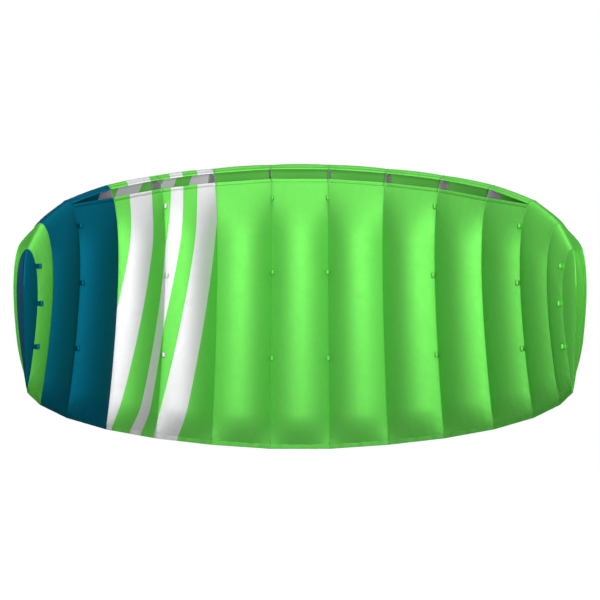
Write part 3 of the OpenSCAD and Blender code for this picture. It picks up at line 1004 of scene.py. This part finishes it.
# %% Put the caps on
for letter in "rl":
    rib = ribs[f"{letter}{TIP}"]
    q = np.linspace(TIP_NOSE_Q, end_q(rib), 90)[:, None]
    back = q**2 * rib["chord"]
    full = height(q) / float(height(THICKEST_Q))
    swell = TIP_SWELL * rib["chord"] * full * roof_over(back)
    grid = on_rib(rib, back + 0 * v, height(q) * rib["chord"] * v, swell)
    outward = np.array([*rib["out"], 0])
    grid = puckered(grid, TIP_SEED + rib["side"], outward)
    slot = slot_of[f"tip_panel_{letter}"]
    piece = cloth_object(f"tip_cloth_{letter}", grid, np.full(v.shape, rib["side"] * half_span),
                         cloths[slot], outward)
    sharpen(piece, RIDGE_COLUMN, int(np.argmax(back[:, 0] > FOLD_LENGTH)))
    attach(piece, rib["body"])
    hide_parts(f"tip_panel_{letter}")
    panels["tip", letter] = {"piece": piece, "grid": grid, "with": []}
print("tip cap", round(float(swell.max()), 4), "m deep")

# %% [markdown]
# ## Seams
# Where two skins meet on a rib, their edges are folded together and sewn through. From outside
# that is a thin raised welt at the bottom of the valley between two cells. Each welt is a small
# tube that follows the rib's outline, a little flattened, in the cloth of the cell beside it. The
# cross seam of a top skin gets a finer one, which follows its row of points.

# %% Sweep a tube along a path
WELT_WIDTH = 0.0008
WELT_HEIGHT = 0.0006
WELT_SIDES = 8
# ON_THE_SEAM puts a welt inside the seam darkening: partly doubled cloth, partly painted shade at
# the bottom of the valley.
ON_THE_SEAM = -0.001
FAR_FROM_EDGE = 1.0


def ring_faces(rows, sides, first=0, flip=False):
    """Faces of a tube made of rings of points, with a cap on each end."""
    corner = first + np.arange(rows * sides).reshape(rows, sides)
    beside = np.roll(corner, -1, axis=1)
    turn = [corner[:-1], corner[1:], beside[1:], beside[:-1]]
    caps = [corner[0].tolist(), corner[-1][::-1].tolist()]
    if flip:
        turn, caps = turn[:1] + turn[:0:-1], [cap[::-1] for cap in caps]
    return np.stack(turn, axis=-1).reshape(-1, 4).tolist() + caps


def tube(name, path, wide, tall, side_axis, material, wing_x):
    normal = np.cross(unit(np.gradient(path, axis=0)), side_axis)
    turn = np.linspace(0, 2 * math.pi, WELT_SIDES, endpoint=False)
    ring = (side_axis * wide * np.cos(turn)[:, None])[None] + (
        normal[:, None] * (tall * np.sin(turn))[None, :, None])
    grid = path[:, None] + ring
    shape = grid.shape[:2]
    piece = mesh_object(name, grid, ring_faces(*shape), material)
    along = np.broadcast_to(lengths_along(path[:, None], 0), shape)
    give_map(piece, "cloth", np.stack([np.broadcast_to(turn * wide, shape), along], axis=-1))
    wing_x = np.broadcast_to(np.reshape(wing_x, (-1, 1)), shape)
    give_map(piece, "wing", np.stack([wing_x, grid[..., 2]], axis=-1))
    # This gives the welt the full seam darkening, partly doubled cloth and partly painted shade.
    give_distance(piece, "seam", np.full(shape, ON_THE_SEAM))
    give_distance(piece, "edge", np.full(shape, FAR_FROM_EDGE))
    return piece


print("a welt is", 2 * WELT_WIDTH, "m wide")

# %% Run a welt along every seam
for name, rib in ribs.items():
    inboard = rib["inboard"]
    wing_x = rib["side"] * abs(cells[inboard]["stations"][1])
    runs = {"top": np.linspace(FRONT_LIP_Q, end_q(rib), 110),
            "bottom": np.linspace(bottom_start_q(cells[inboard], name), -end_q(rib), 90)}
    for surface, q in runs.items():
        slot = slot_of[f"{surface}_skin_{inboard}"]
        welt = tube(f"seam_{surface}_{name}", on_outline(rib, q), WELT_WIDTH, WELT_HEIGHT,
                    np.array([*rib["out"], 0.0]), cloths[slot], wing_x)
        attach(welt, rib["body"])
for name, cell in cells.items():
    grid, row = panels["top", name]["grid"], cross_row(cell)
    downwards = grid[row + 1, COLUMNS // 2] - grid[row - 1, COLUMNS // 2]
    slot = slot_of[f"top_skin_{name}"]
    welt = tube(f"cross_seam_{name}", grid[row], WELT_WIDTH, WELT_HEIGHT / 2,
                unit(downwards), cloths[slot],
                np.linspace(*cell["stations"], COLUMNS))
    across_joint(welt, cell)
print("welts:", 2 * len(ribs) + len(cells))

# %% [markdown]
# ## Bridle tabs
# The lines that carry the flyer's pull are looped through small tabs of folded tape, three to a
# rib on every second rib. A tab is a strip that comes out of the seam, goes round and goes back
# in, so its profile is a teardrop round the bore, drawn across the chord and as wide as the tape.

# %% Fold the tabs
TAB_HALF_WIDTH = 0.005
TAB_REACH = 0.008
TAB_LOOP = 0.0035
TAB_HALF_CLOTH = 0.00045
TAB_LEG = np.array([(0.0005, TAB_REACH + 0.0012), (0.00052, 0.0062), (0.0009, 0.0046)])
LOOP_OPENS_AT = 62


def teardrop():
    turn = np.radians(np.linspace(LOOP_OPENS_AT, -180 - LOOP_OPENS_AT, 27))
    loop = np.stack([TAB_LOOP * np.cos(turn), TAB_LOOP * np.sin(turn)], axis=-1)
    return np.concatenate([TAB_LEG, loop, TAB_LEG[::-1] * (-1, 1)])


def tab_mesh(centre, rib):
    path = teardrop()
    run = unit(np.gradient(path, axis=0))
    side = np.stack([run[:, 1], -run[:, 0]], axis=-1) * TAB_HALF_CLOTH
    outline = np.concatenate([path + side, (path - side)[::-1]])
    plan = outline[:, :1] * rib["out"] + outline[:, 1:] * rib["up"] + np.array(centre[:2])
    rings = [np.column_stack([plan, np.full(len(plan), centre[2] + z)])
             for z in np.linspace(-TAB_HALF_WIDTH, TAB_HALF_WIDTH, 5)]
    steps = np.linalg.norm(np.diff(outline, axis=0, prepend=outline[:1]), axis=1)
    return np.stack(rings), np.cumsum(steps)


print("a tab's strip has", len(teardrop()), "points")

# %% Sew the tabs in
webbing = {
    "webbing_green": tapes["binding_green"],
    "webbing_teal": tapes["binding_teal"],
    "webbing_white": tape_cloth("tape_white", WHITE),
}
tab_groups = {}
for mount in frame["record"]["mounts"]:
    if mount["name"].startswith("tab_"):
        rib_name = mount["name"].split("_")[1]
        group = "centre" if number_of(rib_name) == 1 else rib_name
        tab_groups.setdefault(group, []).append((mount["pos_m"], ribs[rib_name]))
for group, tabs in tab_groups.items():
    points, faces, maps = [], [], []
    for centre, rib in tabs:
        grid, along = tab_mesh(centre, rib)
        faces += ring_faces(*grid.shape[:2], first=len(points), flip=True)
        points += grid.reshape(-1, 3).tolist()
        width = np.linspace(0, 2 * TAB_HALF_WIDTH, len(grid))
        maps += [(a, w) for w in width for a in along]
    slot = slot_of[f"bridle_tabs_{group}"]
    piece = mesh_object(f"tab_loops_{group}", np.array(points), faces, webbing[slot])
    give_map(piece, "cloth", np.array(maps))
    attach(piece, tabs[0][1]["body"])
    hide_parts(f"bridle_tabs_{group}")
print("tabs:", sum(len(t) for t in tab_groups.values()))

# %% [markdown]
# Cloth hardly stretches, so each skin keeps the size that it was cut to. The arc across a panel is
# its width, the arc along it its length, and its area is the cut's area. The loop below measures
# the width of each panel.

for (surface, name), panel in panels.items():
    grid = panel["grid"]
    width = float(lengths_along(grid, 1)[:, -1].max())
print("declared", len(panels), "skins")

# %% [markdown]
# ## Floor and backdrop
# A pale floor lies well below the wing and takes its shadow. The backdrop is the world itself.
# Both have to look white without sending much light to the wing, or its shaded sides would turn
# grey. A Light Path node does that: it lets the floor and the world shine for the camera alone.

# %% Lay the floor
FLOOR_DROP = 0.55
FLOOR_HALF = 30.0
floor_mesh = bpy.data.meshes.new("floor")
floor_z = cad_low.z - FLOOR_DROP
floor_mesh.from_pydata([(x * FLOOR_HALF, y * FLOOR_HALF, floor_z)
                        for x, y in ((-1, -1), (1, -1), (1, 1), (-1, 1))], [], [(0, 1, 2, 3)])
floor = put_in("floor", floor_mesh)
print("floor at", round(floor_z, 3))

# %% Paint the floor
FLOOR_GREY = (0.18, 0.18, 0.18, 1)
BRIGHT = (1, 1, 1, 1)
floor_material, tree = empty_material("floor_pale")
seen = add(tree, "ShaderNodeLightPath").outputs["Is Camera Ray"]
paint = add(tree, "ShaderNodeBsdfDiffuse", {"Color": FLOOR_GREY})
place = add(tree, "ShaderNodeTexCoord").outputs["Object"]
from_wing = add(tree, "ShaderNodeVectorMath", {0: place, 1: (1, 1, 0)}, operation="MULTIPLY")
from_wing = add(tree, "ShaderNodeVectorMath", {0: from_wing.outputs[0]}, operation="LENGTH")
pale = ramp(tree, from_wing.outputs["Value"], 1.0, 3.0, 0.9, 1.0)
shine = add(tree, "ShaderNodeEmission", {
    "Color": BRIGHT, "Strength": sums(tree, "MULTIPLY", seen, pale)})
both = add(tree, "ShaderNodeAddShader", {0: paint.outputs[0], 1: shine.outputs[0]})
add(tree, "ShaderNodeOutputMaterial", {"Surface": both.outputs[0]})
floor_mesh.materials.append(floor_material)
print("floor painted")

# %% Fill the world
WORLD_FILL = 0.01
world = bpy.data.worlds.new("studio")
bpy.context.scene.world = world
world.use_nodes = True
tree = world.node_tree
tree.nodes.clear()
path = add(tree, "ShaderNodeLightPath")
seen = sums(tree, "MAXIMUM", path.outputs["Is Camera Ray"], path.outputs["Is Transmission Ray"])
sky = add(tree, "ShaderNodeBackground", {
    "Color": BRIGHT, "Strength": sums(tree, "MAXIMUM", seen, WORLD_FILL)})
add(tree, "ShaderNodeOutputWorld", {"Surface": sky.outputs[0]})
print("world fill", WORLD_FILL)

# %% [markdown]
# ## Lamps
# The key is a tall strip lamp beside the camera, a little to the right. It is narrow, so each
# swollen cell is brightest where it turns to the viewer and dims towards its inboard seam, and
# tall, so the light hardly changes from the nose to the hem. An overhead lamp catches the noses
# and throws the shadow on the floor. One lamp behind the wing and one at each side light the
# upper skins. All of them are area lamps that point at the middle of the wing.

# %% Hang the lamps
def lamp(name, place, wide, tall, watts):
    data = bpy.data.lights.new(name, "AREA")
    data.shape = "RECTANGLE"
    data.size, data.size_y = wide, tall
    data.energy = watts
    made = put_in(name, data)
    made.location = place
    made.rotation_euler = (middle - made.location).to_track_quat("-Z", "Y").to_euler()
    made.visible_camera = False
    return made


key_y = camera.location.y * 0.95
lamps = [
    lamp(name, Vector((x, y, middle.z + above)), wide, tall, watts)
    for name, x, y, above, wide, tall, watts in (
        ("key", 0.14, key_y, 0.15, 0.4, 2.4, 188),
        ("back", -1.2, 3.4, 0.9, 1.6, 1.6, 115),
        ("overhead", 0.2, -0.7, 2.8, 1.2, 1.2, 58),
        ("left_side", -3.2, 1.5, 0.7, 1.4, 1.4, 45),
        ("right_side", 3.2, 1.5, 0.7, 1.4, 1.4, 45),
    )
]
print("lamps:", [made.name for made in lamps])

bpy.context.scene.view_settings.view_transform = "Standard"
